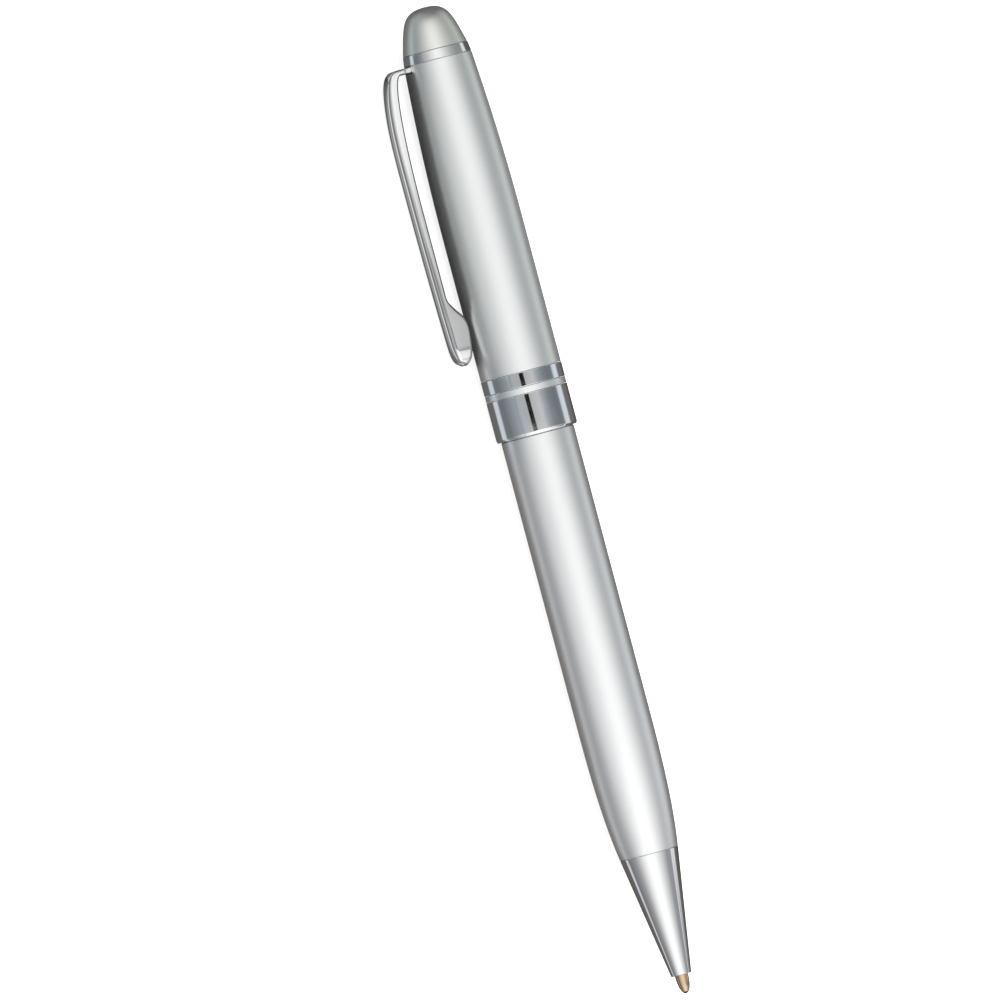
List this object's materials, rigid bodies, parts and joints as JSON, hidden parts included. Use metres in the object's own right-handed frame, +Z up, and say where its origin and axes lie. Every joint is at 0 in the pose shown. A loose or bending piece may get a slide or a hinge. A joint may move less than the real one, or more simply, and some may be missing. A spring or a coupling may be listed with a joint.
{
  "type": "twist ballpoint pen",
  "caption": "Twist-action ballpoint pen with satin metal barrels, polished rings and nose cone, a sprung pocket clip, and a helical cam that extends and retracts the refill.",
  "frame": {"origin": "centre of the bounding box in plan, on the desk that the pen lies on, point extended", "axes": "+X along the pen towards the writing point, +Z up from the desk; the clip lies on the -Y side with its edge on the desk"},
  "size_m": [0.14, 0.0144, 0.0114],
  "materials": {
    "satin_barrel": "fine satin, silver",
    "satin_finial": "fine satin, slightly warmer silver",
    "polished_trim": "mirror polished plating",
    "mechanism_brass": "turned",
    "mechanism_steel": "drawn and turned",
    "spring_steel": "drawn wire",
    "refill_metal": "drawn tube",
    "refill_plastic": "moulded",
    "mechanism_nylon": "moulded",
    "point_brass": "turned, bright",
    "ball_carbide": "ground"
  },
  "bodies": {
    "lower_barrel": {"lower_barrel": "satin_barrel", "nose_cone": "polished_trim", "barrel_insert": "mechanism_brass", "threaded_nipple": "mechanism_brass", "thrust_washer": "mechanism_nylon", "guide_tube": "mechanism_steel", "retaining_ring": "spring_steel", "return_spring": "spring_steel"},
    "upper_barrel": {"upper_barrel": "satin_barrel", "finial": "satin_finial", "finial_trim_ring": "polished_trim", "clip_washer": "mechanism_steel", "top_plug": "mechanism_brass", "upper_band": "polished_trim", "band_spacer": "satin_barrel", "centre_band": "polished_trim", "cam_sleeve": "mechanism_brass"},
    "clip": {"clip": "polished_trim"},
    "refill": {"plunger": "mechanism_nylon", "follower_pin": "mechanism_steel", "refill_plug": "refill_plastic", "refill_barrel": "refill_metal", "refill_point": "point_brass"},
    "writing_ball": {"writing_ball": "ball_carbide"}
  },
  "joints": [
    {"name": "twist", "type": "hinge", "parent": "lower_barrel", "child": "upper_barrel", "pos_m": [-0.012, 0.00152, 0.00572], "axis": [-1, 0, 0], "range_deg": [0, 180]},
    {"name": "refill_slide", "type": "slide", "parent": "lower_barrel", "child": "refill", "axis": [-1, 0, 0], "range_m": [0, 0.004], "deforming": ["return_spring"]},
    {"name": "clip_flex", "type": "hinge", "parent": "upper_barrel", "child": "clip", "pos_m": [-0.06211, -0.00152, 0.00398], "axis": [0, 0.4968, -0.8679], "range_deg": [0, 4], "stiffness_Nm_per_rad": 2.5, "springref_deg": -1.15},
    {"name": "ball_roll", "type": "hinge", "parent": "refill", "child": "writing_ball", "pos_m": [0.0695, 0.00152, 0.00572], "axis": [0, 1, 0], "continuous": true}
  ],
  "couplings": [
    {"joint": "refill_slide", "follows": "twist", "m_per_rad": 0.0012732}
  ]
}
